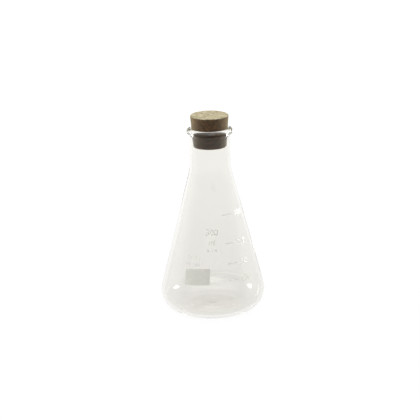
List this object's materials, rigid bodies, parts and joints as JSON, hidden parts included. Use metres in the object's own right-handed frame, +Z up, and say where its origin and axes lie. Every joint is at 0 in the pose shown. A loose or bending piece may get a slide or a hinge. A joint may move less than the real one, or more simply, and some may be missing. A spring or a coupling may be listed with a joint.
{
  "type": "erlenmeyer flask",
  "caption": "Narrow-neck conical glass laboratory flask with a beaded rim, white enamel graduations and a removable tapered cork stopper.",
  "frame": {"origin": "centre of the foot, on the surface that the flask stands on", "axes": "+Z up along the flask's axis, the enamel marks face -Y, +X is to the right of a person facing the marks"},
  "size_m": [0.087, 0.087, 0.1664],
  "materials": {
    "glass": "fire-polished clear glass",
    "cork": "ground agglomerated cork",
    "enamel": "fired white enamel"
  },
  "bodies": {
    "flask": {"flask_body": "glass", "write_on_patch": "enamel", "graduation_150_ml": "enamel", "graduation_200_ml": "enamel", "graduation_250_ml": "enamel", "graduation_300_ml": "enamel"},
    "stopper": {"cork_stopper": "cork"}
  },
  "joints": [
    {"name": "stopper_lift", "type": "slide", "parent": "flask", "child": "stopper", "axis": [0, 0, 1], "range_m": [0, 0.065]}
  ]
}
